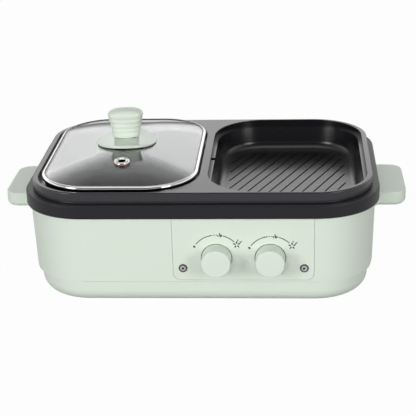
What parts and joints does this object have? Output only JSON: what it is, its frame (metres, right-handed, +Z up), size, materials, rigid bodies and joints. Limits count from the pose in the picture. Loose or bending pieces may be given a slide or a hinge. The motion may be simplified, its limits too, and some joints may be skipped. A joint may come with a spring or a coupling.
{
  "type": "electric hot pot with grill plate",
  "caption": "Countertop electric cooker with a lift-off cast plate that holds a deep pot well and a ribbed grill basin, a lift-off glass lid, two dials and side handles.",
  "frame": {"origin": "middle of the bounding box's bottom, on the plane the feet stand on", "axes": "+X to the right seen from the dials, +Y to the back, +Z up"},
  "size_m": [0.442, 0.2758, 0.1796],
  "materials": {
    "mint_plastic": "smooth satin moulded plastic",
    "mint_gloss": "polished moulded plastic",
    "black_plastic": "fine satin moulded plastic",
    "nonstick_cast": "cast, with a black non-stick coating",
    "liner_steel": "plated pressed sheet",
    "heater_steel": "dark sheathed tube",
    "contact_brass": "bare contact metal",
    "ceramic": "white unglazed ceramic",
    "thermostat_body": "cream moulded phenolic",
    "plated_steel": "zinc plated",
    "inlet_black": "moulded plastic",
    "pilot_metal": "plated bezel",
    "pilot_lens": "smoked lens",
    "lamp_glass": "small neon lamp",
    "foot_rubber": "soft moulded rubber",
    "silicone": "silicone rubber",
    "lid_glass": "clear tempered glass",
    "lid_steel": "polished stainless steel"
  },
  "bodies": {
    "base": {"base_tray": "mint_plastic", "upper_shell": "mint_plastic", "control_panel": "mint_plastic", "rim_frame": "black_plastic", "steel_liner": "liner_steel", "pot_heater": "heater_steel", "grill_heater": "heater_steel", "heater_pins": "contact_brass", "heater_ceramics": "ceramic", "heater_rests": "ceramic", "thermal_fuses": "ceramic", "fuse_clips": "liner_steel", "pot_thermostat": "thermostat_body", "grill_thermostat": "thermostat_body", "thermostat_nuts": "plated_steel", "terminal_block": "thermostat_body", "mains_inlet": "inlet_black", "inlet_pins": "contact_brass", "inlet_screws": "plated_steel", "pilot_bezels": "pilot_metal", "pilot_lenses": "pilot_lens", "pilot_lamps": "lamp_glass", "rubber_feet": "foot_rubber", "base_screws": "plated_steel"},
    "pot_control": {"pot_dial": "mint_plastic", "pot_spindle": "plated_steel"},
    "grill_control": {"grill_dial": "mint_plastic", "grill_spindle": "plated_steel"},
    "plate": {"cooking_plate": "nonstick_cast"},
    "lid": {"lid_glass": "lid_glass", "lid_rim": "lid_steel", "steam_vent": "lid_steel", "vent_washer": "silicone", "knob_disc": "mint_gloss", "lid_knob": "mint_plastic", "knob_screw": "plated_steel", "knob_washer": "plated_steel", "knob_gaskets": "silicone"}
  },
  "joints": [
    {"name": "plate_lift", "type": "slide", "parent": "base", "child": "plate", "axis": [0, 0, 1], "range_m": [0, 0.09]},
    {"name": "lid_lift", "type": "slide", "parent": "plate", "child": "lid", "axis": [0, 0, 1], "range_m": [0, 0.1]},
    {"name": "pot_dial_turn", "type": "hinge", "parent": "base", "child": "pot_control", "pos_m": [0.018, -0.12, 0.054], "axis": [0, 1, 0], "range_deg": [0, 115]},
    {"name": "grill_dial_turn", "type": "hinge", "parent": "base", "child": "grill_control", "pos_m": [0.0743, -0.12, 0.054], "axis": [0, 1, 0], "range_deg": [0, 115]}
  ]
}
